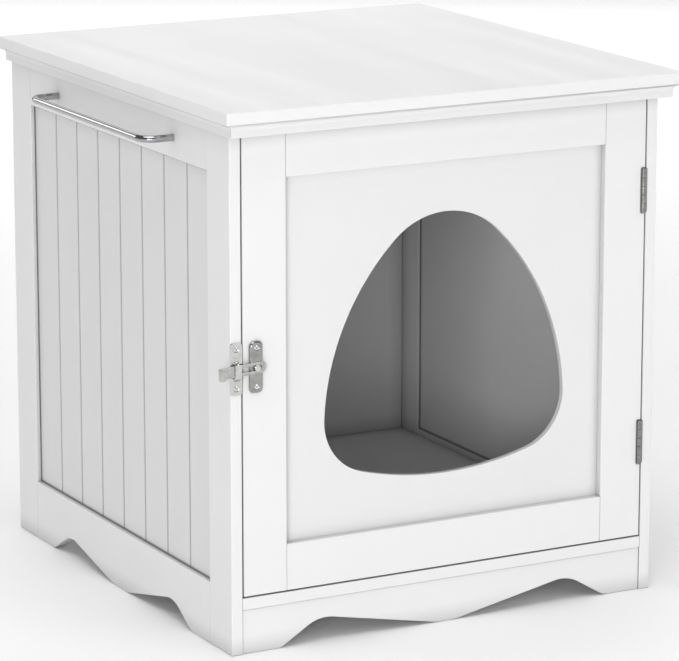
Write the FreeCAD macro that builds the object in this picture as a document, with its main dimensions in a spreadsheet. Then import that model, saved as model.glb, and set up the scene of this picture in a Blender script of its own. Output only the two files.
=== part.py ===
import FreeCAD, Part
import math
import os

import Sketcher

# A white cat litter box cabinet with a hinged, latched door and a towel bar.
# Cabinet axes: X from left to right, Y from the front face to the back, Z up from the floor.
# X is 0 midway between the side frames and Y is 0 on the front face of the legs.
# ORIGIN moves the finished cabinet so that its whole box is centred over the origin.

SIZES = [
    # whole cabinet
    ("outer_width", 480.0, "over the outer faces of the two side frames"),
    ("outer_depth", 512.0, "front face of the front legs to rear face of the rear legs"),
    ("total_height", 540.0, "floor to the face of the top board"),
    ("board", 12.0, "thickness of legs, rails, floor, apron, stretcher and back"),
    ("hair", 0.2, "play of a loose panel or pin in its groove or pocket"),
    # top board and its moulding
    ("top_thickness", 12.0, "top board"),
    ("top_side_overhang", 15.0, "top board beyond each side frame"),
    ("top_front_overhang", 26.0, "top board in front of the legs"),
    ("top_arris", 1.0, "softened edge of the top board"),
    ("moulding_height", 14.0, "moulding under the top board"),
    ("moulding_setback", 2.0, "edge of the top board to the widest part of the moulding"),
    ("moulding_step", 6.5, "how much narrower the moulding is at its foot"),
    ("moulding_cove", 6.0, "radius of the hollow in the moulding"),
    ("moulding_lip", 1.5, "square lip over the hollow"),
    # side frames
    ("leg_width", 48.0, "each leg, measured front to back"),
    ("side_top_rail_height", 55.5, "top rail of a side frame"),
    ("side_foot_rail_height", 63.0, "bottom rail of a side frame"),
    ("side_foot", 91.0, "end of a side frame to the start of its arch"),
    ("side_shoulder", 131.0, "end of a side frame to the highest point of its arch"),
    ("side_shoulder_height", 24.0, "height of that point before it is rounded"),
    ("side_centre_foot", 37.0, "length of the middle foot of a side frame"),
    ("bead_thickness", 4.0, "beaded panel"),
    ("bead_recess", 5.0, "face of a side frame to the face of its beaded panel"),
    ("bead_tongue", 6.0, "edge of the beaded panel hidden in its groove"),
    ("bead_pitch", 51.5, "distance between two beads"),
    ("bead_count", 7.0, "beads in one panel"),
    ("bead_width", 4.5, "mouth of one V-shaped bead"),
    ("bead_depth", 1.6, "depth of one V-shaped bead"),
    # floor, front apron, stretcher and back
    ("floor_height", 45.0, "floor to the underside of the floor board"),
    ("apron_recess", 1.5, "front face of the legs to the face of the front apron"),
    ("front_foot", 54.0, "outer face of a side frame to the start of the front arch"),
    ("front_shoulder", 97.5, "outer face of a side frame to the highest point of that arch"),
    ("front_shoulder_height", 26.5, "height of that point before it is rounded"),
    ("front_centre_foot", 20.0, "length of the middle foot of the front apron"),
    ("foot_round", 16.0, "rounding where a foot leaves the floor"),
    ("shoulder_round", 40.0, "rounding at the highest point of an arch"),
    ("middle_round", 50.0, "rounding where an arch comes down to the middle foot"),
    ("stretcher_height", 40.0, "board behind the head of the door"),
    ("stop_gap", 0.5, "back of the closed door to the stretcher that stops it"),
    # door
    ("door_thickness", 15.0, "stiles and rails of the door"),
    ("door_gap", 1.5, "round the door, at its sides and its foot"),
    ("door_head_gap", 2.0, "head of the door to the foot of the moulding"),
    ("stile_width", 47.0, "each stile of the door"),
    ("door_head_rail", 43.0, "top rail of the door"),
    ("door_foot_rail", 47.0, "bottom rail of the door"),
    ("door_panel_thickness", 6.0, "panel of the door, flush with the back of its frame"),
    ("rebate_width", 8.0, "ledge in the door frame that holds the panel"),
    # entry opening in the door panel
    ("entry_offset", 2.5, "middle of the door to the middle of the entry opening, to the right"),
    ("entry_top", 417.0, "floor to the top of the entry opening"),
    ("entry_bottom", 152.0, "floor to the bottom of the entry opening"),
    ("entry_half_width", 136.0, "middle of the opening to its widest point"),
    ("entry_corner_height", 220.0, "floor to the centres of the two lower corners"),
    ("entry_top_radius", 84.0, "round top of the opening"),
    ("entry_corner_radius", 57.0, "lower corners of the opening"),
    ("entry_flank_radius", 252.0, "long flanks of the opening"),
    # dowels and cam fittings
    ("dowel_radius", 2.5, "wooden dowels"),
    ("dowel_length", 24.0, "wooden dowels"),
    ("dowel_inset", 14.0, "edge of a rail to its nearest dowel"),
    ("bolt_radius", 2.5, "bolt of a cam fitting"),
    ("bolt_bite", 8.0, "bolt of a cam fitting in the board that it is screwed into"),
    ("cam_reach", 24.0, "joint to the centre of the cam"),
    ("cam_radius", 6.0, "disc of a cam fitting"),
    ("cam_height", 9.0, "disc of a cam fitting"),
    ("cam_inset", 80.0, "ends of the floor board to its cam fittings"),
    ("top_cam_inset", 90.0, "ends of a side frame to the cam fittings of the top"),
    ("back_cam_inset", 70.0, "ends of the back board to its cam fittings"),
    # hinges
    ("hinge_length", 44.0, "five knuckles"),
    ("knuckle_count", 5.0, "knuckles of one hinge"),
    ("knuckle_radius", 1.9, "outside of a knuckle"),
    ("hinge_pin_radius", 1.0, "hinge pin"),
    ("hinge_fit", 0.05, "play of a turning part on its pin"),
    ("hinge_play", 0.3, "play between the two leaves, and round the knuckles"),
    ("knuckle_gap", 0.2, "between two knuckles"),
    ("hinge_inset", 2.6, "edge of the door to the hinge axis"),
    ("hinge_proud", 1.0, "front face of the door to the hinge axis"),
    ("leaf_thickness", 1.0, "hinge leaf"),
    ("leaf_depth", 12.0, "hinge axis to the back edge of the leaf"),
    ("upper_hinge_drop", 93.5, "head of the door to the middle of the upper hinge"),
    ("lower_hinge_rise", 99.0, "foot of the door to the middle of the lower hinge"),
    ("hinge_screw_spread", 14.0, "middle of a hinge to its screws"),
    ("hinge_screw_depth", 7.0, "hinge axis to its screws"),
    ("hinge_screw_length", 9.0, "screws of the hinges"),
    ("small_shank", 1.2, "radius of the hinge screws"),
    ("small_head", 2.3, "radius of their heads"),
    ("pin_head", 0.8, "height of the head of the hinge pin"),
    ("pin_head_inset", 0.2, "outside of a knuckle to the rim of the head of the pin"),
    # latch
    ("latch_height", 287.0, "floor to the middle of the latch"),
    ("latch_inset", 27.0, "outer face of the left frame to the stud of the latch"),
    ("plate_length", 51.0, "both plates of the latch"),
    ("catch_width", 13.0, "plate on the leg"),
    ("catch_thickness", 1.2, "plate on the leg and its hook"),
    ("catch_round", 2.5, "corners of the plate on the leg"),
    ("keeper_width", 14.0, "plate on the door"),
    ("keeper_thickness", 3.0, "plate on the door"),
    ("keeper_round", 5.0, "corners of the plate on the door"),
    ("keeper_bevel", 1.4, "bevel round the plate on the door"),
    ("hook_width", 6.5, "hook on the leg plate"),
    ("hook_height", 5.0, "middle of the latch to the tip of the hook"),
    ("hook_play", 0.3, "seat of the hook to the bar that rests in it"),
    ("hook_root", 12.5, "middle of the latch down to the root of the hook"),
    ("hook_bend", 1.8, "outside of the bend at the seat of the hook"),
    ("bar_height", 11.0, "latch bar"),
    ("bar_thickness", 1.5, "latch bar"),
    ("latch_droop", 3.5, "slope of the resting bar down to the hook, in degrees"),
    ("bar_nose", 9.2, "stud to the round right end of the bar"),
    ("bar_end_flat", 0.2, "straight stretch in the middle of a round end"),
    ("bar_play", 0.3, "latch bar to the hook, front to back"),
    ("bar_lift", 0.2, "latch bar to the plate behind it"),
    ("slot_radius", 2.6, "half the height of the slot in the bar"),
    ("slot_right", 2.0, "stud to the right end of the slot, centre to centre"),
    ("slot_left", 14.5, "stud to the left end of the slot, centre to centre"),
    ("curl_distance", 38.0, "stud to the centre of the curled end"),
    ("curl_radius", 3.1, "inside of the curled end"),
    ("curl_turn", 210.0, "degrees that the end of the bar is rolled towards the front"),
    ("stud_fit", 0.1, "play of the stud in the slot"),
    ("stud_head_radius", 3.5, "head of the stud"),
    ("stud_head_height", 1.5, "head of the stud"),
    ("stud_dome", 0.9, "rounding of the head of the stud"),
    ("rivet_radius", 1.8, "shank of the stud in the door plate"),
    ("rivet_tail_radius", 2.6, "closed end of the stud behind the plate"),
    ("rivet_tail_height", 1.0, "closed end of the stud behind the plate"),
    ("latch_screw_spread", 19.3, "middle of the latch to its outer screws"),
    ("latch_middle_screw", 5.0, "middle of the latch to the third screw on the leg"),
    ("latch_screw_length", 11.0, "screws of the latch"),
    ("latch_shank", 1.6, "radius of the latch screws"),
    ("latch_head", 2.9, "radius of their heads"),
    ("sink_depth", 1.0, "height of a countersunk head"),
    ("tip_slope", 1.5, "length of the point of a screw for each millimetre of its radius"),
    # towel bar
    ("towel_span", 271.0, "foot to foot of the towel bar"),
    ("towel_reach", 31.0, "side frame to the middle of the towel bar"),
    ("towel_radius", 3.5, "round rod of the towel bar"),
    ("towel_bend", 14.0, "radius of its two bends"),
    ("towel_drop", 35.0, "underside of the top board to the towel bar"),
    ("towel_screw_radius", 2.0, "screws that hold the towel bar"),
    ("towel_screw_bite", 10.0, "screw inside the rod"),
    ("towel_screw_head_radius", 4.0, "head of that screw"),
    ("towel_screw_head_height", 2.4, "head of that screw"),
]

doc = FreeCAD.newDocument("litter_box_cabinet")
sheet = doc.addObject("Spreadsheet::Sheet", "Sizes")
for row, (alias, value, meaning) in enumerate(SIZES, start=1):
    sheet.set(f"A{row}", meaning)
    sheet.set(f"B{row}", str(value))
    sheet.setAlias(f"B{row}", alias)
doc.recompute()

# Lengths that follow from the driving sizes, as expressions for the document to work out.
HALF_WIDTH = "(Sizes.outer_width / 2)"
INNER_HALF = "(Sizes.outer_width / 2 - Sizes.board)"
HALF_DEPTH = "(Sizes.outer_depth / 2)"
HALF_BOARD = "(Sizes.board / 2)"
UNDER_TOP = "(Sizes.total_height - Sizes.top_thickness)"
MOULDING_FOOT = f"({UNDER_TOP} - Sizes.moulding_height)"
MOULDING_WIDTH = "(Sizes.top_side_overhang - Sizes.moulding_setback)"
SIDE_OPENING_TOP = f"({UNDER_TOP} - Sizes.side_top_rail_height)"
SIDE_OPENING_DEPTH = "(Sizes.outer_depth - 2 * Sizes.leg_width)"
FLOOR_TOP = "(Sizes.floor_height + Sizes.board)"
DOOR_HALF = f"({INNER_HALF} - Sizes.door_gap)"
DOOR_FOOT = f"({FLOOR_TOP} + Sizes.door_gap)"
DOOR_HEAD = f"({MOULDING_FOOT} - Sizes.door_head_gap)"
DOOR_OPENING_HALF = f"({DOOR_HALF} - Sizes.stile_width)"
DOOR_RECESS = "(Sizes.door_thickness - Sizes.door_panel_thickness)"
STRETCHER_FRONT = "(Sizes.door_thickness + Sizes.stop_gap)"
BACK_FRONT = "(Sizes.outer_depth - Sizes.board)"
HINGE_X = f"({DOOR_HALF} - Sizes.hinge_inset)"
HINGE_HALF = "(Sizes.hinge_length / 2)"
UPPER_HINGE = f"({DOOR_HEAD} - Sizes.upper_hinge_drop)"
LOWER_HINGE = f"({DOOR_FOOT} + Sizes.lower_hinge_rise)"
LATCH_X = f"(Sizes.latch_inset - {HALF_WIDTH})"
CATCH_X = f"({HALF_BOARD} - {HALF_WIDTH})"
TOWEL_HEIGHT = f"({UNDER_TOP} - Sizes.towel_drop)"
TOWEL_FRONT = f"({HALF_DEPTH} - Sizes.towel_span / 2)"
TOWEL_REAR = f"({HALF_DEPTH} + Sizes.towel_span / 2)"
ORIGIN = (
    "((Sizes.towel_reach + Sizes.towel_radius - Sizes.top_side_overhang) / 2)",
    "((Sizes.top_front_overhang - Sizes.outer_depth) / 2)",
    "0",
)

ALONG = {
    "x": FreeCAD.Rotation(FreeCAD.Vector(0, 1, 0), 90),
    "y": FreeCAD.Rotation(FreeCAD.Vector(1, 0, 0), -90),
    "z": FreeCAD.Rotation(),
    "-x": FreeCAD.Rotation(FreeCAD.Vector(0, 1, 0), -90),
    "-y": FreeCAD.Rotation(FreeCAD.Vector(1, 0, 0), 90),
    "-z": FreeCAD.Rotation(FreeCAD.Vector(1, 0, 0), 180),
}

nodes = []


def number(expression):
    """The present value of an expression, in millimetres."""
    value = sheet.evalExpression(str(expression))
    return float(getattr(value, "Value", value))


def place(feature, point, rotation=None):
    """Turn a feature, then bind its place to three expressions."""
    feature.Placement = FreeCAD.Placement(FreeCAD.Vector(), rotation or FreeCAD.Rotation())
    for axis, expression in zip("xyz", point):
        feature.setExpression(f"Placement.Base.{axis}", str(expression))


class Piece:
    """One solid piece of the cabinet, drawn from a corner or centre of its own."""

    def __init__(self, name, corner, kept=True):
        self.name = name
        self.corner = corner
        self.body = doc.addObject("PartDesign::Body", name)
        self.body.Label = name
        place(self.body, [f"{a} + {b}" for a, b in zip(corner, ORIGIN)])
        if kept:
            nodes.append(self.body)

    def local(self, point):
        """A point of the cabinet, seen from this piece's own corner."""
        return [f"({a}) - ({b})" for a, b in zip(point, self.corner)]

    def sketch(self, role, name, offset="0"):
        """An empty sketch on one of the body's own planes, moved along its normal."""
        sketch = self.body.newObject("Sketcher::SketchObject", f"{self.name}_{name}")
        planes = self.body.Origin.OriginFeatures
        sketch.AttachmentSupport = [(next(p for p in planes if p.Role == role), "")]
        sketch.MapMode = "FlatFace"
        sketch.setExpression("AttachmentOffset.Base.z", str(offset))
        return sketch

    def feature(self, kind, name, sizes):
        """A feature of the body, with its sizes bound to expressions."""
        feature = self.body.newObject(f"PartDesign::{kind}", f"{self.name}_{name}")
        for size, expression in sizes.items():
            feature.setExpression(size, str(expression))
        return feature

    def pad(self, sketch, length, reverse=False):
        pad = self.feature("Pad", f"{sketch.Name}_pad", {"Length": length})
        pad.Profile = sketch
        pad.Reversed = reverse
        sketch.Visibility = False
        return pad

    def pocket(self, sketch, length, reverse=False):
        pocket = self.feature("Pocket", f"{sketch.Name}_cut", {"Length": length})
        pocket.Profile = sketch
        pocket.Reversed = reverse
        sketch.Visibility = False
        return pocket

    def bore(self, name, axis, start, radius, depth):
        """A round hole from a point of the cabinet, along one axis."""
        hole = self.feature("SubtractiveCylinder", name, {"Radius": radius, "Height": depth})
        place(hole, self.local(start), ALONG[axis])

    def sink(self, name, axis, start, small, large, depth):
        """A conical seat that widens from a point of the cabinet along one axis."""
        sizes = {"Radius1": small, "Radius2": large, "Height": depth}
        seat = self.feature("SubtractiveCone", name, sizes)
        place(seat, self.local(start), ALONG[axis])

    def notch(self, name, low, high):
        """A square recess between two points of the cabinet."""
        sizes = {
            size: f"({b}) - ({a})"
            for size, a, b in zip(("Length", "Width", "Height"), low, high)
        }
        place(self.feature("SubtractiveBox", name, sizes), self.local(low))


def outline(sketch, corners):
    """Close straight lines through corners (x, y) or (x, y, radius), bound to expressions."""
    points = [FreeCAD.Vector(number(c[0]), number(c[1]), 0) for c in corners]
    count = len(points)
    lines = [Part.LineSegment(points[i], points[(i + 1) % count]) for i in range(count)]
    sketch.addGeometry(lines)
    for i in range(count):
        sketch.addConstraint(Sketcher.Constraint("Coincident", i, 2, (i + 1) % count, 1))
    bound = {}
    for i, corner in enumerate(corners):
        for kind, label, expression in (("DistanceX", "x", corner[0]), ("DistanceY", "y", corner[1])):
            value = number(expression)
            index = sketch.addConstraint(Sketcher.Constraint(kind, -1, 1, i, 1, value))
            sketch.renameConstraint(index, f"{label}{i}")
            bound[f"{label}{i}"] = expression
    for i, corner in enumerate(corners):
        if len(corner) == 3:
            sketch.fillet((i - 1) % count, 2, number(corner[2]), True, True)
            arc = max(n for n, g in enumerate(sketch.Geometry) if isinstance(g, Part.ArcOfCircle))
            index = sketch.addConstraint(Sketcher.Constraint("Radius", arc, number(corner[2])))
            sketch.renameConstraint(index, f"r{i}")
            bound[f"r{i}"] = corner[2]
    for label, expression in bound.items():
        sketch.setExpression(f"Constraints.{label}", str(expression))


def rectangle(sketch, low, high):
    """A rectangle between two corners."""
    outline(sketch, [(low[0], low[1]), (high[0], low[1]), (high[0], high[1]), (low[0], high[1])])


def board(name, low, high):
    """A plain board between two points of the cabinet."""
    piece = Piece(name, low)
    size = piece.local(high)
    sketch = piece.sketch("XY_Plane", "outline")
    rectangle(sketch, ("0", "0"), (size[0], size[1]))
    piece.pad(sketch, size[2])
    return piece


def edges_where(shape, test):
    """Names of the edges whose two ends pass a test."""
    found = []
    for number_of_edge, edge in enumerate(shape.Edges, start=1):
        if all(test(vertex.Point) for vertex in edge.Vertexes):
            found.append(f"Edge{number_of_edge}")
    return found


def soften(piece, kind, size, test, name="soft"):
    """A fillet or chamfer on the edges of the piece's last feature that pass a test."""
    doc.recompute()
    base = piece.body.Tip
    key = "Radius" if kind == "Fillet" else "Size"
    feature = piece.feature(kind, name, {key: size})
    feature.Base = (base, edges_where(base.Shape, test))


def group(name, members):
    """Like solids that share one node."""
    compound = doc.addObject("Part::Compound", name)
    compound.Label = name
    compound.Links = members
    nodes.append(compound)


def rod(name, axis, start, radius, length):
    """A plain round rod from a point of the cabinet, along one axis."""
    cylinder = doc.addObject("Part::Cylinder", name)
    cylinder.setExpression("Radius", str(radius))
    cylinder.setExpression("Height", str(length))
    place(cylinder, [f"{a} + {b}" for a, b in zip(start, ORIGIN)], ALONG[axis])
    return cylinder


# ---------------------------------------------------------------- top board and moulding

def make_top():
    low = (
        f"-({HALF_WIDTH} + Sizes.top_side_overhang)",
        "-Sizes.top_front_overhang",
        UNDER_TOP,
    )
    high = (
        f"{HALF_WIDTH} + Sizes.top_side_overhang",
        "Sizes.outer_depth",
        "Sizes.total_height",
    )
    top = board("top_board", low, high)
    thick = number("Sizes.top_thickness")
    soften(top, "Fillet", "Sizes.top_arris", lambda p: p.z > thick / 2)
    return top


def moulding_section(sketch, outward):
    """The moulding in section: plain foot, hollow, square lip. outward maps width to a place."""
    foot_width = f"({MOULDING_WIDTH} - Sizes.moulding_step)"
    lip = "(Sizes.moulding_height - Sizes.moulding_lip)"
    corners = [
        (outward("0"), "0"),
        (outward(foot_width), "0"),
        (outward(foot_width), lip, "Sizes.moulding_cove"),
        (outward(MOULDING_WIDTH), lip),
        (outward(MOULDING_WIDTH), "Sizes.moulding_height"),
        (outward("0"), "Sizes.moulding_height"),
    ]
    outline(sketch, corners)


def make_mouldings():
    front = "(Sizes.moulding_setback - Sizes.top_front_overhang)"
    outer = f"({HALF_WIDTH} + {MOULDING_WIDTH})"
    run = f"(Sizes.outer_depth - {front})"

    left = Piece("left_moulding", (f"-{outer}", front, MOULDING_FOOT))
    section = left.sketch("XZ_Plane", "section")
    moulding_section(section, lambda u: f"{MOULDING_WIDTH} - ({u})")
    left.pad(section, run, reverse=True)
    mitre = left.sketch("XY_Plane", "mitre")
    outline(mitre, [("0", "0"), (MOULDING_WIDTH, "0"), (MOULDING_WIDTH, MOULDING_WIDTH)])
    left.pocket(mitre, "Sizes.moulding_height", reverse=True)

    right = Piece("right_moulding", (HALF_WIDTH, front, MOULDING_FOOT))
    section = right.sketch("XZ_Plane", "section")
    moulding_section(section, lambda u: u)
    right.pad(section, run, reverse=True)
    mitre = right.sketch("XY_Plane", "mitre")
    outline(mitre, [("0", "0"), (MOULDING_WIDTH, "0"), ("0", MOULDING_WIDTH)])
    right.pocket(mitre, "Sizes.moulding_height", reverse=True)

    width = f"(2 * {outer})"
    strip = Piece("front_moulding", (f"-{outer}", front, MOULDING_FOOT))
    section = strip.sketch("YZ_Plane", "section")
    moulding_section(section, lambda u: f"{MOULDING_WIDTH} - ({u})")
    strip.pad(section, width)
    mitre = strip.sketch("XY_Plane", "left_mitre")
    outline(mitre, [("0", "0"), (MOULDING_WIDTH, MOULDING_WIDTH), ("0", MOULDING_WIDTH)])
    strip.pocket(mitre, "Sizes.moulding_height", reverse=True)
    mitre = strip.sketch("XY_Plane", "right_mitre")
    inner = f"{width} - {MOULDING_WIDTH}"
    outline(mitre, [(width, "0"), (width, MOULDING_WIDTH), (inner, MOULDING_WIDTH)])
    strip.pocket(mitre, "Sizes.moulding_height", reverse=True)


# ---------------------------------------------------------------- side frames

def scalloped(sketch, length, height, foot, shoulder, rise, middle):
    """A rail on three feet, with a rounded arch between each pair."""
    near = f"(({length} - {middle}) / 2)"
    corners = [
        ("0", "0"),
        (foot, "0", "Sizes.foot_round"),
        (shoulder, rise, "Sizes.shoulder_round"),
        (near, "0", "Sizes.middle_round"),
        (f"{length} - {near}", "0", "Sizes.middle_round"),
        (f"{length} - {shoulder}", rise, "Sizes.shoulder_round"),
        (f"{length} - {foot}", "0", "Sizes.foot_round"),
        (length, "0"),
        (length, height),
        ("0", height),
    ]
    outline(sketch, corners)


def make_side(side):
    """Two legs, two rails and a beaded panel. side is -1 on the left and 1 on the right."""
    word = "left" if side < 0 else "right"
    low_x = f"-{HALF_WIDTH}" if side < 0 else INNER_HALF
    high_x = f"-{INNER_HALF}" if side < 0 else HALF_WIDTH
    rear = "(Sizes.outer_depth - Sizes.leg_width)"
    middle_x = f"({low_x} + {HALF_BOARD})"
    slot = "(Sizes.bead_thickness + Sizes.hair)"
    slot_depth = "(Sizes.bead_tongue + Sizes.hair)"
    if side < 0:
        slot_low = f"({low_x} + Sizes.bead_recess - Sizes.hair / 2)"
        panel_x = f"({low_x} + Sizes.bead_recess)"
    else:
        slot_low = f"({high_x} - Sizes.bead_recess - {slot} + Sizes.hair / 2)"
        panel_x = f"({high_x} - Sizes.bead_recess - Sizes.bead_thickness)"
    slot_high = f"({slot_low} + {slot})"
    slot_foot = f"(Sizes.side_foot_rail_height - {slot_depth})"
    slot_head = f"({SIDE_OPENING_TOP} + {slot_depth})"
    half_dowel = "(Sizes.dowel_length / 2)"
    dowel_heights = [
        "Sizes.dowel_inset",
        f"({slot_foot} - Sizes.dowel_inset)",
        f"({slot_head} + Sizes.dowel_inset)",
        f"({UNDER_TOP} - Sizes.dowel_inset)",
    ]

    front_leg = board(f"{word}_front_leg", (low_x, "0", "0"), (high_x, "Sizes.leg_width", UNDER_TOP))
    front_leg.notch(
        "panel_groove",
        (slot_low, f"(Sizes.leg_width - {slot_depth})", slot_foot),
        (slot_high, "Sizes.leg_width", slot_head),
    )
    rear_leg = board(f"{word}_rear_leg", (low_x, rear, "0"), (high_x, "Sizes.outer_depth", UNDER_TOP))
    rear_leg.notch(
        "panel_groove",
        (slot_low, rear, slot_foot),
        (slot_high, f"({rear} + {slot_depth})", slot_head),
    )

    top_rail = board(
        f"{word}_top_rail",
        (low_x, "Sizes.leg_width", SIDE_OPENING_TOP),
        (high_x, rear, UNDER_TOP),
    )
    top_rail.notch(
        "panel_groove",
        (slot_low, "Sizes.leg_width", SIDE_OPENING_TOP),
        (slot_high, rear, slot_head),
    )

    foot_rail = Piece(f"{word}_foot_rail", (low_x, "Sizes.leg_width", "0"))
    arches = foot_rail.sketch("YZ_Plane", "arches")
    scalloped(
        arches,
        SIDE_OPENING_DEPTH,
        "Sizes.side_foot_rail_height",
        "(Sizes.side_foot - Sizes.leg_width)",
        "(Sizes.side_shoulder - Sizes.leg_width)",
        "Sizes.side_shoulder_height",
        "Sizes.side_centre_foot",
    )
    foot_rail.pad(arches, "Sizes.board")
    foot_rail.notch(
        "panel_groove",
        (slot_low, "Sizes.leg_width", slot_foot),
        (slot_high, rear, "Sizes.side_foot_rail_height"),
    )

    dowels = []
    for leg, joint, end in ((front_leg, "Sizes.leg_width", "front"), (rear_leg, rear, "rear")):
        for i, height in enumerate(dowel_heights):
            start = (middle_x, f"({joint} - {half_dowel})", height)
            rail = foot_rail if i < 2 else top_rail
            leg.bore(f"dowel_hole_{i}", "y", start, "Sizes.dowel_radius", "Sizes.dowel_length")
            rail.bore(f"{end}_dowel_hole_{i}", "y", start, "Sizes.dowel_radius", "Sizes.dowel_length")
            name = f"{word}_{end}_dowel_{i}"
            dowels.append(rod(name, "y", start, "Sizes.dowel_radius", "Sizes.dowel_length"))

    panel = board(
        f"{word}_beaded_panel",
        (panel_x, "(Sizes.leg_width - Sizes.bead_tongue)",
         "(Sizes.side_foot_rail_height - Sizes.bead_tongue)"),
        (f"({panel_x} + Sizes.bead_thickness)", f"({rear} + Sizes.bead_tongue)",
         f"({SIDE_OPENING_TOP} + Sizes.bead_tongue)"),
    )
    cut_beads(panel, side)
    return {
        "front_leg": front_leg,
        "rear_leg": rear_leg,
        "top_rail": top_rail,
        "foot_rail": foot_rail,
        "dowels": dowels,
    }


def cut_beads(panel, side):
    """V-shaped beads on the outer face of a panel, repeated front to back."""
    face = "0" if side < 0 else "Sizes.bead_thickness"
    bottom = "Sizes.bead_depth" if side < 0 else "(Sizes.bead_thickness - Sizes.bead_depth)"
    beads_run = "(Sizes.bead_pitch * (Sizes.bead_count - 1))"
    panel_depth = f"({SIDE_OPENING_DEPTH} + 2 * Sizes.bead_tongue)"
    first = f"(({panel_depth} - {beads_run}) / 2)"
    sketch = panel.sketch("XY_Plane", "bead")
    corners = [
        (face, f"{first} - Sizes.bead_width / 2"),
        (bottom, first),
        (face, f"{first} + Sizes.bead_width / 2"),
    ]
    outline(sketch, corners)
    height = f"({SIDE_OPENING_TOP} - Sizes.side_foot_rail_height + 2 * Sizes.bead_tongue)"
    bead = panel.pocket(sketch, height, reverse=True)
    pattern = panel.feature("LinearPattern", "beads", {"Length": beads_run})
    pattern.Originals = [bead]
    pattern.Direction = (sketch, ["V_Axis"])
    pattern.setExpression("Occurrences", "Sizes.bead_count")
    panel.body.Tip = pattern


# ---------------------------------------------------------------- floor, apron, stretcher, back

def make_apron():
    apron = Piece("front_apron", (f"-{INNER_HALF}", "Sizes.apron_recess", "0"))
    arches = apron.sketch("XZ_Plane", "arches")
    scalloped(
        arches,
        f"(2 * {INNER_HALF})",
        "Sizes.floor_height",
        "(Sizes.front_foot - Sizes.board)",
        "(Sizes.front_shoulder - Sizes.board)",
        "Sizes.front_shoulder_height",
        "Sizes.front_centre_foot",
    )
    apron.pad(arches, "Sizes.board", reverse=True)
    return apron


def make_floor():
    low = (f"-{INNER_HALF}", "0", "Sizes.floor_height")
    return board("floor_board", low, (INNER_HALF, BACK_FRONT, FLOOR_TOP))


def make_stretcher():
    low = (f"-{INNER_HALF}", STRETCHER_FRONT, f"({UNDER_TOP} - Sizes.stretcher_height)")
    high = (INNER_HALF, f"({STRETCHER_FRONT} + Sizes.board)", UNDER_TOP)
    return board("top_stretcher", low, high)


def make_back():
    low = (f"-{INNER_HALF}", BACK_FRONT, "Sizes.floor_height")
    return board("back_board", low, (INNER_HALF, "Sizes.outer_depth", UNDER_TOP))


# ---------------------------------------------------------------- dowels and cam fittings

def cam_fitting(name, fixed, joined, joint, direction, face, into):
    """A bolt in one board, held by a cam disc in the board that it is joined to.

    joint is where the bolt crosses from the fixed board into the joined board. direction is the
    bolt's way into the joined board, face is a point on the cam's open face, into is its way down.
    """
    axis = direction[-1]
    sign = "-" if direction[0] == "-" else "+"
    place_of = "xyz".index(axis)
    root = list(joint)
    root[place_of] = f"({joint[place_of]} {'+' if sign == '-' else '-'} Sizes.bolt_bite)"
    length = "(Sizes.bolt_bite + Sizes.cam_reach)"
    fixed.bore(f"{name}_bolt_hole", direction, root, "Sizes.bolt_radius", length)
    joined.bore(f"{name}_bolt_hole", direction, root, "(Sizes.bolt_radius + Sizes.hair)", length)
    centre = list(face)
    centre[place_of] = f"({joint[place_of]} {sign} Sizes.cam_reach)"
    pocket_radius = "(Sizes.cam_radius + Sizes.hair)"
    joined.bore(f"{name}_cam_pocket", into, centre, pocket_radius, "(Sizes.cam_height + Sizes.hair)")
    bolt = rod(f"{name}_bolt", direction, root, "Sizes.bolt_radius", length)
    disc = rod(f"{name}_disc", into, centre, "Sizes.cam_radius", "Sizes.cam_height")
    reach = "(Sizes.bolt_radius + Sizes.hair)"
    mouth = rod(f"{name}_mouth", direction, root, reach, f"({length} + {reach})")
    cam = doc.addObject("Part::Cut", f"{name}_cam")
    cam.Base = disc
    cam.Tool = mouth
    return bolt, cam


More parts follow.
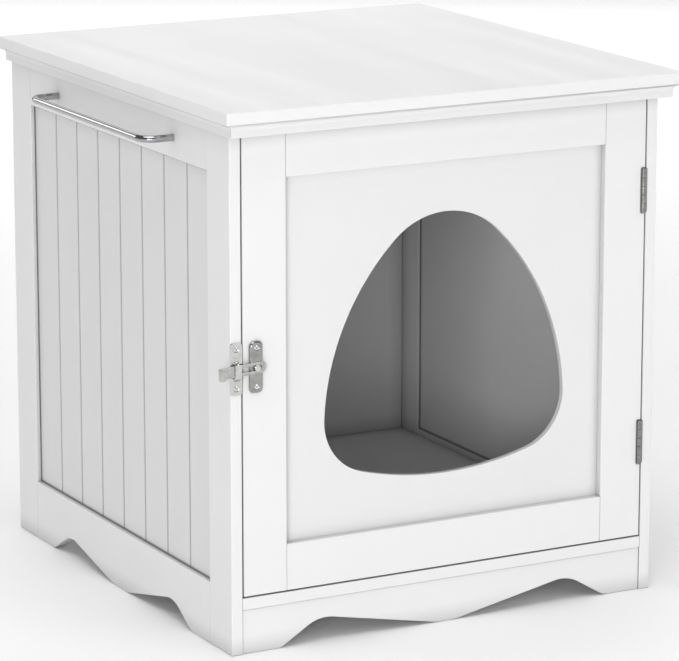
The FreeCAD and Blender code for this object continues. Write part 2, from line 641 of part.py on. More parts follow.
def join_carcass(left, right, top, floor, stretcher, back, apron):
    """Cam fittings wherever the cabinet comes apart."""
    bolts = []
    cams = []
    fittings = []
    for frame, side in ((left, -1), (right, 1)):
        word = "left" if side < 0 else "right"
        direction = "x" if side < 0 else "-x"
        x = f"-{INNER_HALF}" if side < 0 else INNER_HALF
        for end, y in (("front", "Sizes.cam_inset"), ("rear", "(Sizes.outer_depth - Sizes.cam_inset)")):
            fittings.append((
                f"floor_{word}_{end}", frame["foot_rail"], floor,
                (x, y, f"(Sizes.floor_height + {HALF_BOARD})"), direction,
                ("0", y, "Sizes.floor_height"), "z",
            ))
        for end, y in (
            ("front", "Sizes.top_cam_inset"),
            ("rear", "(Sizes.outer_depth - Sizes.top_cam_inset)"),
        ):
            middle_x = f"-({HALF_WIDTH} - {HALF_BOARD})" if side < 0 else f"({HALF_WIDTH} - {HALF_BOARD})"
            fittings.append((
                f"top_{word}_{end}", top, frame["top_rail"],
                (middle_x, y, UNDER_TOP), "-z", (x, y, "0"), "-x" if side < 0 else "x",
            ))
        back_heights = (
            ("low", "(Sizes.floor_height + Sizes.back_cam_inset)"),
            ("high", f"({UNDER_TOP} - Sizes.back_cam_inset)"),
        )
        for end, z in back_heights:
            fittings.append((
                f"back_{word}_{end}", frame["rear_leg"], back,
                (x, f"(Sizes.outer_depth - {HALF_BOARD})", z), direction,
                ("0", "Sizes.outer_depth", z), "-y",
            ))
        z = f"({UNDER_TOP} - Sizes.stretcher_height / 2)"
        fittings.append((
            f"stretcher_{word}", frame["front_leg"], stretcher,
            (x, f"({STRETCHER_FRONT} + {HALF_BOARD})", z), direction,
            ("0", f"({STRETCHER_FRONT} + Sizes.board)", z), "-y",
        ))
        z = "(Sizes.floor_height / 2)"
        fittings.append((
            f"apron_{word}", frame["front_leg"], apron,
            (x, f"(Sizes.apron_recess + {HALF_BOARD})", z), direction,
            ("0", "(Sizes.apron_recess + Sizes.board)", z), "-y",
        ))
    for fitting in fittings:
        bolt, cam = cam_fitting(*fitting)
        bolts.append(bolt)
        cams.append(cam)
    group("cam_bolts", bolts)
    group("cam_discs", cams)


# ---------------------------------------------------------------- door

def make_door():
    """Two stiles, two rails and a panel let into the back of them."""
    stiles = {}
    dowels = []
    rebate = f"(Sizes.rebate_width + Sizes.hair)"
    depth = "Sizes.door_thickness"
    head_ledge = f"({DOOR_HEAD} - Sizes.door_head_rail)"
    foot_ledge = f"({DOOR_FOOT} + Sizes.door_foot_rail)"
    for word, low_x, high_x, ledge in (
        ("left", f"-{DOOR_HALF}", f"-{DOOR_OPENING_HALF}", f"(-{DOOR_OPENING_HALF} - {rebate})"),
        ("right", DOOR_OPENING_HALF, DOOR_HALF, DOOR_OPENING_HALF),
    ):
        stile = board(f"door_{word}_stile", (low_x, "0", DOOR_FOOT), (high_x, depth, DOOR_HEAD))
        stile.notch(
            "rebate",
            (ledge, DOOR_RECESS, f"({foot_ledge} - {rebate})"),
            (f"({ledge} + {rebate})", depth, f"({head_ledge} + {rebate})"),
        )
        stiles[word] = stile

    rails = {}
    for word, low_z, high_z, ledge in (
        ("foot", DOOR_FOOT, foot_ledge, f"({foot_ledge} - {rebate})"),
        ("head", head_ledge, DOOR_HEAD, head_ledge),
    ):
        rail = board(
            f"door_{word}_rail",
            (f"-{DOOR_OPENING_HALF}", "0", low_z),
            (DOOR_OPENING_HALF, depth, high_z),
        )
        rail.notch(
            "rebate",
            (f"-{DOOR_OPENING_HALF}", DOOR_RECESS, ledge),
            (DOOR_OPENING_HALF, depth, f"({ledge} + {rebate})"),
        )
        rails[word] = rail

    dowel_y = f"({DOOR_RECESS} / 2)"
    half_dowel = "(Sizes.dowel_length / 2)"
    for word, joint in (("left", f"-{DOOR_OPENING_HALF}"), ("right", DOOR_OPENING_HALF)):
        for rail_word, low_z, high_z in (
            ("foot", DOOR_FOOT, foot_ledge),
            ("head", head_ledge, DOOR_HEAD),
        ):
            heights = (f"({low_z} + Sizes.dowel_inset)", f"({high_z} - Sizes.dowel_inset)")
            for i, height in enumerate(heights):
                start = (f"({joint} - {half_dowel})", dowel_y, height)
                for piece, key in ((stiles[word], rail_word), (rails[rail_word], word)):
                    name = f"{key}_dowel_hole_{i}"
                    piece.bore(name, "x", start, "Sizes.dowel_radius", "Sizes.dowel_length")
                name = f"door_{word}_{rail_word}_dowel_{i}"
                dowels.append(rod(name, "x", start, "Sizes.dowel_radius", "Sizes.dowel_length"))
    group("door_dowels", dowels)
    make_door_panel(head_ledge, foot_ledge)
    return stiles


def make_door_panel(head_ledge, foot_ledge):
    """The panel of the door, with the entry opening cut through it."""
    half = f"({DOOR_OPENING_HALF} + Sizes.rebate_width)"
    low = (f"-{half}", DOOR_RECESS, f"({foot_ledge} - Sizes.rebate_width)")
    high = (half, "Sizes.door_thickness", f"({head_ledge} + Sizes.rebate_width)")
    panel = board("door_panel", low, high)
    sketch = panel.sketch("XZ_Plane", "entry")
    entry_outline(sketch, f"({half} + Sizes.entry_offset)", low[2])
    panel.pocket(sketch, "Sizes.door_panel_thickness")


def entry_outline(sketch, middle, base):
    """A rounded triangle of six arcs, each tangent to the next, symmetrical about its middle.

    The round top and the two lower corners are placed by their sizes. The flanks touch the top
    and a corner from outside, and the bottom touches both corners.
    """
    middle_x = number(middle)
    base_z = number(base)
    top_radius = number("Sizes.entry_top_radius")
    corner_radius = number("Sizes.entry_corner_radius")
    flank_radius = number("Sizes.entry_flank_radius")
    corner_x = number("Sizes.entry_half_width") - corner_radius
    corner_z = number("Sizes.entry_corner_height")
    top_z = number("Sizes.entry_top") - top_radius
    drop = corner_z - number("Sizes.entry_bottom")
    bottom_expression = (
        "(((Sizes.entry_half_width - Sizes.entry_corner_radius) ^ 2"
        " + (Sizes.entry_corner_height - Sizes.entry_bottom) ^ 2"
        " - Sizes.entry_corner_radius ^ 2)"
        " / (2 * (Sizes.entry_corner_height - Sizes.entry_bottom - Sizes.entry_corner_radius)))"
    )
    bottom_radius = (corner_x ** 2 + drop ** 2 - corner_radius ** 2) / (2 * (drop - corner_radius))

    top = FreeCAD.Vector(0, top_z, 0)
    corner = FreeCAD.Vector(corner_x, corner_z, 0)
    bottom = FreeCAD.Vector(0, number("Sizes.entry_bottom") + bottom_radius, 0)
    # the flank's centre is at known distances from the centres of the corner and the top
    span = top - corner
    near = flank_radius - corner_radius
    far = flank_radius - top_radius
    along = (near ** 2 - far ** 2 + span.Length ** 2) / (2 * span.Length)
    across = math.sqrt(near ** 2 - along ** 2)
    unit = FreeCAD.Vector(span).normalize()
    flank = corner + unit * along + FreeCAD.Vector(-unit.y, unit.x, 0) * across

    def angle(centre, other):
        return math.atan2(other.y - centre.y, other.x - centre.x)

    top_angle = angle(flank, top)
    corner_angle = angle(flank, corner)
    bottom_angle = angle(bottom, corner)
    shift = FreeCAD.Vector(middle_x, -base_z, 0)
    up = FreeCAD.Vector(0, 0, 1)

    def arc(centre, radius, start, end):
        circle = Part.Circle(centre + shift, up, radius)
        return Part.ArcOfCircle(circle, start, end)

    def mirrored(centre):
        return FreeCAD.Vector(-centre.x, centre.y, 0)

    arcs = [
        arc(top, top_radius, top_angle, math.pi - top_angle),
        arc(mirrored(flank), flank_radius, math.pi - top_angle, math.pi - corner_angle),
        arc(mirrored(corner), corner_radius, math.pi - corner_angle, math.pi - bottom_angle),
        arc(bottom, bottom_radius, math.pi - bottom_angle, 2 * math.pi + bottom_angle),
        arc(corner, corner_radius, bottom_angle, corner_angle),
        arc(flank, flank_radius, corner_angle, top_angle),
    ]
    sketch.addGeometry(arcs)
    for i in range(len(arcs)):
        sketch.addConstraint(Sketcher.Constraint("Tangent", i, 2, (i + 1) % len(arcs), 1))
    radii = {
        0: "Sizes.entry_top_radius",
        1: "Sizes.entry_flank_radius",
        2: "Sizes.entry_corner_radius",
        3: bottom_expression,
        4: "Sizes.entry_corner_radius",
        5: "Sizes.entry_flank_radius",
    }
    bound = {}
    for i, expression in radii.items():
        index = sketch.addConstraint(Sketcher.Constraint("Radius", i, number(expression)))
        sketch.renameConstraint(index, f"radius{i}")
        bound[f"radius{i}"] = expression
    corner_offset = "(Sizes.entry_half_width - Sizes.entry_corner_radius)"
    centres = {
        0: (middle, f"Sizes.entry_top - Sizes.entry_top_radius - ({base})"),
        2: (f"{middle} - {corner_offset}", f"Sizes.entry_corner_height - ({base})"),
        4: (f"{middle} + {corner_offset}", f"Sizes.entry_corner_height - ({base})"),
    }
    for i, (x, z) in centres.items():
        for kind, label, expression in (("DistanceX", "x", x), ("DistanceY", "z", z)):
            value = number(expression)
            index = sketch.addConstraint(Sketcher.Constraint(kind, -1, 1, i, 3, value))
            sketch.renameConstraint(index, f"{label}{i}")
            bound[f"{label}{i}"] = expression
    for label, expression in bound.items():
        sketch.setExpression(f"Constraints.{label}", str(expression))


# ---------------------------------------------------------------- screws

def screw(name, axis, seat, shank, head, length):
    """A countersunk screw: seat is the middle of its flat face, axis its way into the wood."""
    piece = Piece(name, seat, kept=False)
    sketch = piece.sketch("XZ_Plane", "half_section")
    tip = f"(Sizes.{shank} * Sizes.tip_slope)"
    corners = [
        ("0", "0"),
        (f"Sizes.{head}", "0"),
        (f"Sizes.{shank}", "Sizes.sink_depth"),
        (f"Sizes.{shank}", f"(Sizes.{length} - {tip})"),
        ("0", f"Sizes.{length}"),
    ]
    outline(sketch, corners)
    turned = piece.feature("Revolution", "turned", {})
    turned.Profile = sketch
    turned.ReferenceAxis = (sketch, ["V_Axis"])
    sketch.Visibility = False
    place(piece.body, [f"{a} + {b}" for a, b in zip(seat, ORIGIN)], ALONG[axis])
    return piece.body


def screw_seat(metal, wood, name, axis, seat, shank, head, length):
    """The countersunk hole in a plate and the pilot hole behind it."""
    back = {"x": "-x", "y": "-y", "-x": "x", "-y": "y"}[axis]
    place_of = "xyz".index(axis[-1])
    deep = list(seat)
    sign = "-" if axis[0] == "-" else "+"
    deep[place_of] = f"({seat[place_of]} {sign} Sizes.sink_depth)"
    metal.sink(f"{name}_sink", back, deep, f"Sizes.{shank}", f"Sizes.{head}", "Sizes.sink_depth")
    metal.bore(f"{name}_hole", axis, seat, f"Sizes.{shank}", f"Sizes.{length}")
    wood.bore(f"{name}_pilot", axis, seat, f"Sizes.{shank}", f"Sizes.{length}")


# ---------------------------------------------------------------- hinges

def hinge_leaf(name, centre, reach, own, other):
    """One leaf of a hinge: plate, web and knuckles. Its own axis is X = Y = 0."""
    leaf = Piece(name, (HINGE_X, "-Sizes.hinge_proud", f"({centre} - {HINGE_HALF})"))
    web_back = "Sizes.knuckle_radius"
    web_front = "(Sizes.knuckle_radius - Sizes.leaf_thickness)"
    plate = f"({reach} - Sizes.leaf_thickness)"
    sketch = leaf.sketch("XY_Plane", "profile")
    corners = [
        ("0", web_front),
        (reach, web_front),
        (reach, "Sizes.leaf_depth"),
        (plate, "Sizes.leaf_depth"),
        (plate, web_back),
        ("0", web_back),
    ]
    outline(sketch, corners)
    leaf.pad(sketch, "Sizes.hinge_length")
    pitch = "(Sizes.hinge_length / Sizes.knuckle_count)"
    half_gap = "(Sizes.knuckle_gap / 2)"
    clear = "(Sizes.knuckle_radius + Sizes.hinge_play)"
    edge = "(Sizes.hinge_inset + Sizes.hinge_play)"
    right = edge if name.endswith("fixed_leaf") else f"({reach} + Sizes.hinge_play)"
    for i in other:
        sizes = {
            "Length": f"({clear} + {right})",
            "Width": f"(2 * {clear})",
            "Height": f"({pitch} + Sizes.knuckle_gap)",
        }
        gap = leaf.feature("SubtractiveBox", f"gap_{i}", sizes)
        place(gap, (f"-{clear}", f"-{clear}", f"({pitch} * {i} - {half_gap})"))
    for i in own:
        knuckle = leaf.feature(
            "AdditiveCylinder", f"knuckle_{i}",
            {"Radius": "Sizes.knuckle_radius", "Height": f"({pitch} - Sizes.knuckle_gap)"},
        )
        place(knuckle, ("0", "0", f"({pitch} * {i} + {half_gap})"))
    bore = leaf.feature(
        "SubtractiveCylinder", "pin_bore",
        {"Radius": "(Sizes.hinge_pin_radius + Sizes.hinge_fit)", "Height": "Sizes.hinge_length"},
    )
    place(bore, ("0", "0", "0"))
    return leaf


def make_hinges(leg, stile):
    """Two butt hinges between the right front leg and the right stile of the door."""
    fixed_screws = []
    door_screws = []
    door_edge = DOOR_HALF
    leg_face = INNER_HALF
    count = int(number("Sizes.knuckle_count"))
    clear = "(Sizes.knuckle_radius + Sizes.hinge_play)"
    for word, centre in (("upper", UPPER_HINGE), ("lower", LOWER_HINGE)):
        foot = f"({centre} - {HINGE_HALF})"
        head = f"({centre} + {HINGE_HALF})"
        back = "(Sizes.leaf_depth - Sizes.hinge_proud)"
        fixed = hinge_leaf(
            f"{word}_hinge_fixed_leaf", centre,
            "(Sizes.hinge_inset + Sizes.door_gap + Sizes.leaf_thickness)",
            range(0, count, 2), range(1, count, 2),
        )
        moving = hinge_leaf(
            f"{word}_hinge_door_leaf", centre, "Sizes.hinge_inset",
            range(1, count, 2), range(0, count, 2),
        )
        pin_low = (HINGE_X, "-Sizes.hinge_proud", f"({foot} - Sizes.pin_head)")
        pin_parts = [
            rod(f"{word}_pin_shank", "z", pin_low, "Sizes.hinge_pin_radius",
                "(Sizes.hinge_length + 2 * Sizes.pin_head)"),
        ]
        for end, z in (("foot", f"({foot} - Sizes.pin_head)"), ("head", head)):
            start = (HINGE_X, "-Sizes.hinge_proud", z)
            radius = "(Sizes.knuckle_radius - Sizes.pin_head_inset)"
            pin_parts.append(rod(f"{word}_pin_{end}", "z", start, radius, "Sizes.pin_head"))
        pin = doc.addObject("Part::MultiFuse", f"{word}_hinge_pin")
        pin.Shapes = pin_parts
        pin.Refine = True
        nodes.append(pin)

        leg.notch(
            f"{word}_hinge_mortise",
            (leg_face, "0", foot),
            (f"({leg_face} + Sizes.leaf_thickness)", back, head),
        )
        stile.notch(
            f"{word}_hinge_mortise",
            (f"({door_edge} - Sizes.leaf_thickness)", "0", foot),
            (door_edge, back, head),
        )
        stile.notch(
            f"{word}_knuckle_notch",
            (f"({HINGE_X} - {clear})", "0", f"({foot} - Sizes.pin_head - Sizes.hinge_play)"),
            (door_edge, f"({clear} - Sizes.hinge_proud)",
             f"({head} + Sizes.pin_head + Sizes.hinge_play)"),
        )
        screw_y = "(Sizes.hinge_screw_depth - Sizes.hinge_proud)"
        for i, z in enumerate(
            (f"({centre} - Sizes.hinge_screw_spread)", f"({centre} + Sizes.hinge_screw_spread)")
        ):
            sizes = ("small_shank", "small_head", "hinge_screw_length")
            seat = (leg_face, screw_y, z)
            screw_seat(fixed, leg, f"{word}_{i}", "x", seat, *sizes)
            fixed_screws.append(screw(f"{word}_fixed_screw_{i}", "x", seat, *sizes))
            seat = (door_edge, screw_y, z)
            screw_seat(moving, stile, f"{word}_{i}", "-x", seat, *sizes)
            door_screws.append(screw(f"{word}_door_screw_{i}", "-x", seat, *sizes))
    group("hinge_fixed_screws", fixed_screws)
    group("hinge_door_screws", door_screws)


# ---------------------------------------------------------------- latch

def rounded_plate(name, corner, width, thickness, radius):
    """An upright plate with rounded corners, its face towards the front."""
    plate = Piece(name, corner)
    sketch = plate.sketch("XZ_Plane", "outline")
    length = "Sizes.plate_length"
    corners = [
        ("0", "0", radius),
        (width, "0", radius),
        (width, length, radius),
        ("0", length, radius),
    ]
    outline(sketch, corners)
    plate.pad(sketch, thickness)
    return plate


def make_latch(leg, stile):
    """A bar on a stud in the door plate, which drops into a hook on the leg plate."""
    foot = "(Sizes.latch_height - Sizes.plate_length / 2)"
    catch = rounded_plate(
        "latch_catch_plate",
        (f"({CATCH_X} - Sizes.catch_width / 2)", "0", foot),
        "Sizes.catch_width", "Sizes.catch_thickness", "Sizes.catch_round",
    )
    bar_back = "(Sizes.keeper_thickness + Sizes.bar_lift)"
    bar_front = f"({bar_back} + Sizes.bar_thickness)"
    tongue_back = f"({bar_front} + Sizes.bar_play)"
    tongue_front = f"({tongue_back} + Sizes.catch_thickness)"
    side = "((Sizes.catch_width - Sizes.hook_width) / 2)"
    hook = catch.sketch("YZ_Plane", "hook", side)
    middle = "(Sizes.plate_length / 2)"
    half = "(Sizes.catch_thickness / 2)"
    hook_far = f"({LATCH_X} - {CATCH_X} + Sizes.hook_width / 2)"
    bar_drop = f"({hook_far} * tan(Sizes.latch_droop) + Sizes.bar_height / 2 / cos(Sizes.latch_droop))"
    seat = f"{middle} - {bar_drop} - Sizes.hook_play"
    root = f"{middle} - Sizes.hook_root"
    corners = [
        (f"-{half}", root),
        (f"-{tongue_front}", f"{seat} - Sizes.catch_thickness", "Sizes.hook_bend"),
        (f"-{tongue_front}", f"{middle} + Sizes.hook_height"),
        (f"-{tongue_back}", f"{middle} + Sizes.hook_height"),
        (f"-{tongue_back}", seat, "Sizes.hook_bend - Sizes.catch_thickness"),
        (f"-{half}", f"{root} + Sizes.hook_bend"),
    ]
    outline(hook, corners)
    catch.pad(hook, "Sizes.hook_width")

    keeper = rounded_plate(
        "latch_door_plate",
        (f"({LATCH_X} - Sizes.keeper_width / 2)", "0", foot),
        "Sizes.keeper_width", "Sizes.keeper_thickness", "Sizes.keeper_round",
    )
    thick = number("Sizes.keeper_thickness")
    soften(keeper, "Chamfer", "Sizes.keeper_bevel", lambda p: p.y < -thick / 2)
    stud_axis = (LATCH_X, "0", "Sizes.latch_height")
    tail_pocket = "(Sizes.rivet_tail_height + Sizes.hair)"
    keeper.bore("stud_hole", "-y", stud_axis, "(Sizes.rivet_radius + Sizes.hinge_fit)",
                "Sizes.keeper_thickness")
    keeper.bore("tail_pocket", "-y", stud_axis, "(Sizes.rivet_tail_radius + Sizes.hair)", tail_pocket)

    spread = ("(Sizes.latch_height - Sizes.latch_screw_spread)",
              "(Sizes.latch_height + Sizes.latch_screw_spread)")
    sizes = ("latch_shank", "latch_head", "latch_screw_length")
    catch_screws = []
    for i, z in enumerate(spread + ("(Sizes.latch_height + Sizes.latch_middle_screw)",)):
        seat_point = (CATCH_X, "-Sizes.catch_thickness", z)
        screw_seat(catch, leg, f"latch_{i}", "y", seat_point, *sizes)
        catch_screws.append(screw(f"catch_screw_{i}", "y", seat_point, *sizes))
    door_screws = []
    for i, z in enumerate(spread):
        seat_point = (LATCH_X, "-Sizes.keeper_thickness", z)
        screw_seat(keeper, stile, f"latch_{i}", "y", seat_point, *sizes)
        door_screws.append(screw(f"door_plate_screw_{i}", "y", seat_point, *sizes))
    group("latch_catch_screws", catch_screws)
    group("latch_door_screws", door_screws)

    make_stud(bar_back, bar_front)
    make_bar(bar_back)


def make_stud(bar_back, bar_front):
    """The stud, turned about its own axis: tail, shank, collar in the slot, and head."""
    stud = Piece("latch_stud", (LATCH_X, "0", "Sizes.latch_height"))
    sketch = stud.sketch("XY_Plane", "half_section")
    tail_back = "(Sizes.hair / 2)"
    tail_front = f"({tail_back} + Sizes.rivet_tail_height)"
    collar_back = "(Sizes.keeper_thickness + Sizes.stud_fit)"
    head_back = f"({bar_front} + Sizes.stud_fit)"
    head_front = f"({head_back} + Sizes.stud_head_height)"
    collar = "(Sizes.slot_radius - Sizes.stud_fit)"
    corners = [
        ("0", f"-{tail_back}"),
        ("Sizes.rivet_tail_radius", f"-{tail_back}"),
        ("Sizes.rivet_tail_radius", f"-{tail_front}"),
        ("Sizes.rivet_radius", f"-{tail_front}"),
        ("Sizes.rivet_radius", f"-{collar_back}"),
        (collar, f"-{collar_back}"),
        (collar, f"-{head_back}"),
        ("Sizes.stud_head_radius", f"-{head_back}"),
        ("Sizes.stud_head_radius", f"-{head_front}", "Sizes.stud_dome"),
        ("0", f"-{head_front}"),
    ]
    outline(sketch, corners)
    turned = stud.feature("Revolution", "turned", {})
    turned.Profile = sketch
    turned.ReferenceAxis = (sketch, ["V_Axis"])
    sketch.Visibility = False


def make_bar(bar_back):
    """The slotted bar: a flat with a round right end, and a rolled finger grip at the left."""
    corner = (LATCH_X, f"-{bar_back}", "Sizes.latch_height")
    bar = Piece("latch_bar", corner)
    half = "(Sizes.bar_height / 2)"
    round_end = f"({half} - Sizes.bar_end_flat / 2)"
    flat = bar.sketch("XZ_Plane", "flat")
    corners = [
        ("-Sizes.curl_distance", f"-{half}"),
        ("Sizes.bar_nose", f"-{half}", round_end),
        ("Sizes.bar_nose", half, round_end),
        ("-Sizes.curl_distance", half),
    ]
    outline(flat, corners)
    bar.pad(flat, "Sizes.bar_thickness")
    slot = bar.sketch("XZ_Plane", "slot")
    slot_outline(slot)
    bar.pocket(slot, "Sizes.bar_thickness", reverse=True)
    curl = bar.sketch("XY_Plane", "curl", f"-{half}")
    curl_outline(curl)
    bar.pad(curl, "Sizes.bar_height")
    round_tongue(bar, half, round_end)
    slope = FreeCAD.Rotation(FreeCAD.Vector(0, 1, 0), -number("Sizes.latch_droop"))
    place(bar.body, [f"{a} + {b}" for a, b in zip(corner, ORIGIN)], slope)


def round_tongue(bar, half, round_end):
    """Round the end of the bar where it has rolled over to the front."""
    outer = "(Sizes.curl_radius + Sizes.bar_thickness)"
    tip = f"({outer} * cos(Sizes.curl_turn + 90) - Sizes.curl_distance)"
    start = f"({tip} - {half})"
    beyond = f"({tip} + {half})"
    above = "Sizes.bar_height"
    sketch = bar.sketch("XZ_Plane", "tongue", outer)
    corners = [
        (start, half),
        (tip, half, round_end),
        (tip, f"-{half}", round_end),
        (start, f"-{half}"),
        (start, f"-{above}"),
        (beyond, f"-{above}"),
        (beyond, above),
        (start, above),
    ]
    outline(sketch, corners)
    bar.pocket(sketch, f"(2 * {outer})", reverse=True)


def slot_outline(sketch):
    """A slot with two round ends."""
    radius = number("Sizes.slot_radius")
    right = FreeCAD.Vector(number("Sizes.slot_right"), 0, 0)
    left = FreeCAD.Vector(-number("Sizes.slot_left"), 0, 0)
    rise = FreeCAD.Vector(0, radius, 0)
    up = FreeCAD.Vector(0, 0, 1)
    half_turn = math.pi / 2
    sketch.addGeometry([
        Part.ArcOfCircle(Part.Circle(right, up, radius), -half_turn, half_turn),
        Part.LineSegment(right + rise, left + rise),
        Part.ArcOfCircle(Part.Circle(left, up, radius), half_turn, 3 * half_turn),
        Part.LineSegment(left - rise, right - rise),
    ])
    for i in range(4):
        sketch.addConstraint(Sketcher.Constraint("Tangent", i, 2, (i + 1) % 4, 1))
    sketch.addConstraint(Sketcher.Constraint("PointOnObject", 0, 3, -1))
    sketch.addConstraint(Sketcher.Constraint("PointOnObject", 2, 3, -1))
    for label, kind, geometry, expression in (
        ("right", "DistanceX", 0, "Sizes.slot_right"),
        ("left", "DistanceX", 2, "-Sizes.slot_left"),
    ):
        constraint = Sketcher.Constraint(kind, -1, 1, geometry, 3, number(expression))
        index = sketch.addConstraint(constraint)
        sketch.renameConstraint(index, label)
        sketch.setExpression(f"Constraints.{label}", expression)
    index = sketch.addConstraint(Sketcher.Constraint("Radius", 0, radius))
    sketch.renameConstraint(index, "radius")
    sketch.setExpression("Constraints.radius", "Sizes.slot_radius")


def curl_outline(sketch):
    """Part of a ring that continues the flat bar and rolls out towards the front."""
    inner = number("Sizes.curl_radius")
    outer = inner + number("Sizes.bar_thickness")
    centre = FreeCAD.Vector(-number("Sizes.curl_distance"), -outer, 0)
    up = FreeCAD.Vector(0, 0, 1)
    start = math.pi / 2
    end = start + math.radians(number("Sizes.curl_turn"))

    def on(radius, angle):
        return centre + FreeCAD.Vector(radius * math.cos(angle), radius * math.sin(angle), 0)

    sketch.addGeometry([
        Part.ArcOfCircle(Part.Circle(centre, up, outer), start, end),
        Part.LineSegment(on(outer, end), on(inner, end)),
        Part.ArcOfCircle(Part.Circle(centre, up, inner), start, end),
        Part.LineSegment(on(inner, start), on(outer, start)),
    ])
    sketch.addConstraint(Sketcher.Constraint("Coincident", 0, 2, 1, 1))
    sketch.addConstraint(Sketcher.Constraint("Coincident", 1, 2, 2, 2))
    sketch.addConstraint(Sketcher.Constraint("Coincident", 2, 1, 3, 1))
    sketch.addConstraint(Sketcher.Constraint("Coincident", 3, 2, 0, 1))
    sketch.addConstraint(Sketcher.Constraint("Coincident", 0, 3, 2, 3))
    sketch.addConstraint(Sketcher.Constraint("Vertical", 3))
    sketch.addConstraint(Sketcher.Constraint("PointOnObject", 0, 1, -1))
    sketch.addConstraint(Sketcher.Constraint("PointOnObject", 0, 3, 3))
    sketch.addConstraint(Sketcher.Constraint("PointOnObject", 0, 3, 1))
    for label, constraint, expression in (
        ("inner", Sketcher.Constraint("Radius", 2, inner), "Sizes.curl_radius"),
        ("outer", Sketcher.Constraint("Radius", 0, outer), "Sizes.curl_radius + Sizes.bar_thickness"),
        ("far", Sketcher.Constraint("DistanceX", -1, 1, 0, 3, centre.x), "-Sizes.curl_distance"),
    ):
        index = sketch.addConstraint(constraint)
        sketch.renameConstraint(index, label)
        sketch.setExpression(f"Constraints.{label}", expression)
    index = sketch.addConstraint(Sketcher.Constraint("Angle", 1, end - math.pi))
    sketch.renameConstraint(index, "turn")
    sketch.setExpression("Constraints.turn", "(Sizes.curl_turn - 90) * 1 deg")


# ---------------------------------------------------------------- towel bar

def make_towel_bar(rail):
    """A round rod bent twice, screwed on from inside the top rail of the left frame."""
    bar = Piece("towel_bar", (f"-{HALF_WIDTH}", TOWEL_FRONT, TOWEL_HEIGHT))
    path = bar.sketch("XY_Plane", "path")
    reach = "-Sizes.towel_reach"
    corners = [
        ("0", "0"),
        (reach, "0", "Sizes.towel_bend"),
        (reach, "Sizes.towel_span", "Sizes.towel_bend"),
        ("0", "Sizes.towel_span"),
    ]
    outline(path, corners)
    path.toggleConstruction(3)
    ring = bar.sketch("YZ_Plane", "ring")
    ring.addGeometry(Part.Circle(FreeCAD.Vector(), FreeCAD.Vector(0, 0, 1), number("Sizes.towel_radius")))
    ring.addConstraint(Sketcher.Constraint("Coincident", 0, 3, -1, 1))
    index = ring.addConstraint(Sketcher.Constraint("Radius", 0, number("Sizes.towel_radius")))
    ring.renameConstraint(index, "radius")
    ring.setExpression("Constraints.radius", "Sizes.towel_radius")
    rod_pipe = bar.feature("AdditivePipe", "rod", {})
    rod_pipe.Profile = ring
    rod_pipe.Spine = path
    path.Visibility = False
    ring.Visibility = False
    screws = []
    for word, y in (("front", TOWEL_FRONT), ("rear", TOWEL_REAR)):
        inside = (f"-{INNER_HALF}", y, TOWEL_HEIGHT)
        length = "(Sizes.board + Sizes.towel_screw_bite)"
        rail.bore(f"{word}_towel_hole", "-x", inside, "Sizes.towel_screw_radius", "Sizes.board")
        bar.bore(f"{word}_thread", "-x", inside, "Sizes.towel_screw_radius", length)
        shank = rod(f"{word}_towel_shank", "-x", inside, "Sizes.towel_screw_radius", length)
        head = rod(f"{word}_towel_head", "x", inside, "Sizes.towel_screw_head_radius",
                   "Sizes.towel_screw_head_height")
        whole = doc.addObject("Part::MultiFuse", f"{word}_towel_screw")
        whole.Shapes = [shank, head]
        screws.append(whole)
    group("towel_bar_screws", screws)


# ---------------------------------------------------------------- the whole cabinet

top_board = make_top()
make_mouldings()
left_frame = make_side(-1)
right_frame = make_side(1)
group("frame_dowels", left_frame["dowels"] + right_frame["dowels"])
front_apron = make_apron()
floor_board = make_floor()
top_stretcher = make_stretcher()
back_board = make_back()
join_carcass(
    left_frame, right_frame, top_board, floor_board, top_stretcher, back_board, front_apron,
)
door_stiles = make_door()
make_hinges(right_frame["front_leg"], door_stiles["right"])
make_latch(left_frame["front_leg"], door_stiles["left"])
make_towel_bar(left_frame["top_rail"])
doc.recompute()

failed = [o.Name for o in doc.Objects if "Invalid" in o.State or "Error" in o.State]
if failed:
    raise RuntimeError("these features did not build: " + ", ".join(failed))
for node in nodes:
    if node.Shape.isNull() or not node.Shape.isValid():
        raise RuntimeError("this piece is not a valid solid: " + node.Label)

os.makedirs("parts", exist_ok=True)
for node in nodes:
    node.Shape.exportStep(f"parts/{node.Label}.step")
    print(node.Label, len(node.Shape.Solids), round(node.Shape.Volume, 2))
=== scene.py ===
import math

import bmesh
import bpy
from mathutils import Matrix, Vector


